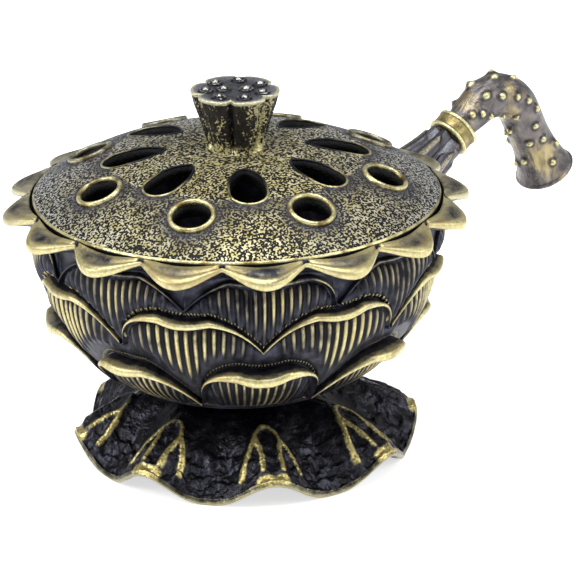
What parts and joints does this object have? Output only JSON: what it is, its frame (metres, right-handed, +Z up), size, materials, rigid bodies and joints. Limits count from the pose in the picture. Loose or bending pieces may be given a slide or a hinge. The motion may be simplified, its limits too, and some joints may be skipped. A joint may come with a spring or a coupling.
{
  "type": "hand censer",
  "caption": "Cast lotus hand censer: petalled bowl on a wavy leaf foot, pierced domed lid with a seed-pod knob, and a bent stem handle with thorns.",
  "frame": {"origin": "middle of the bounding box's bottom, on the surface that the censer stands on", "axes": "+Z up along the bowl's axis, +X from the bowl towards the end of the handle; the bowl's axis is 22.1 mm behind the origin on -X"},
  "size_m": [0.1346, 0.0902, 0.0745],
  "materials": {
    "antique_brass": "antiqued, dark in the recesses and rubbed on the relief",
    "dark_bronze": "darkened casting with rubbed high spots",
    "rubbed_brass": "rubbed bright",
    "plated_steel": "zinc plated"
  },
  "bodies": {
    "base": {"bowl": "antique_brass", "foot": "dark_bronze", "foot_washer": "plated_steel", "foot_screw": "plated_steel", "neck": "dark_bronze", "neck_washer": "plated_steel", "neck_screw": "plated_steel", "ferrule": "rubbed_brass", "joining_stud": "plated_steel", "stem": "dark_bronze"},
    "lid_assembly": {"lid": "antique_brass", "knob": "antique_brass", "knob_washer": "plated_steel", "knob_screw": "plated_steel"}
  },
  "joints": [
    {"name": "lid_lift", "type": "slide", "parent": "base", "child": "lid_assembly", "axis": [0, 0, 1], "range_m": [0, 0.06]}
  ]
}
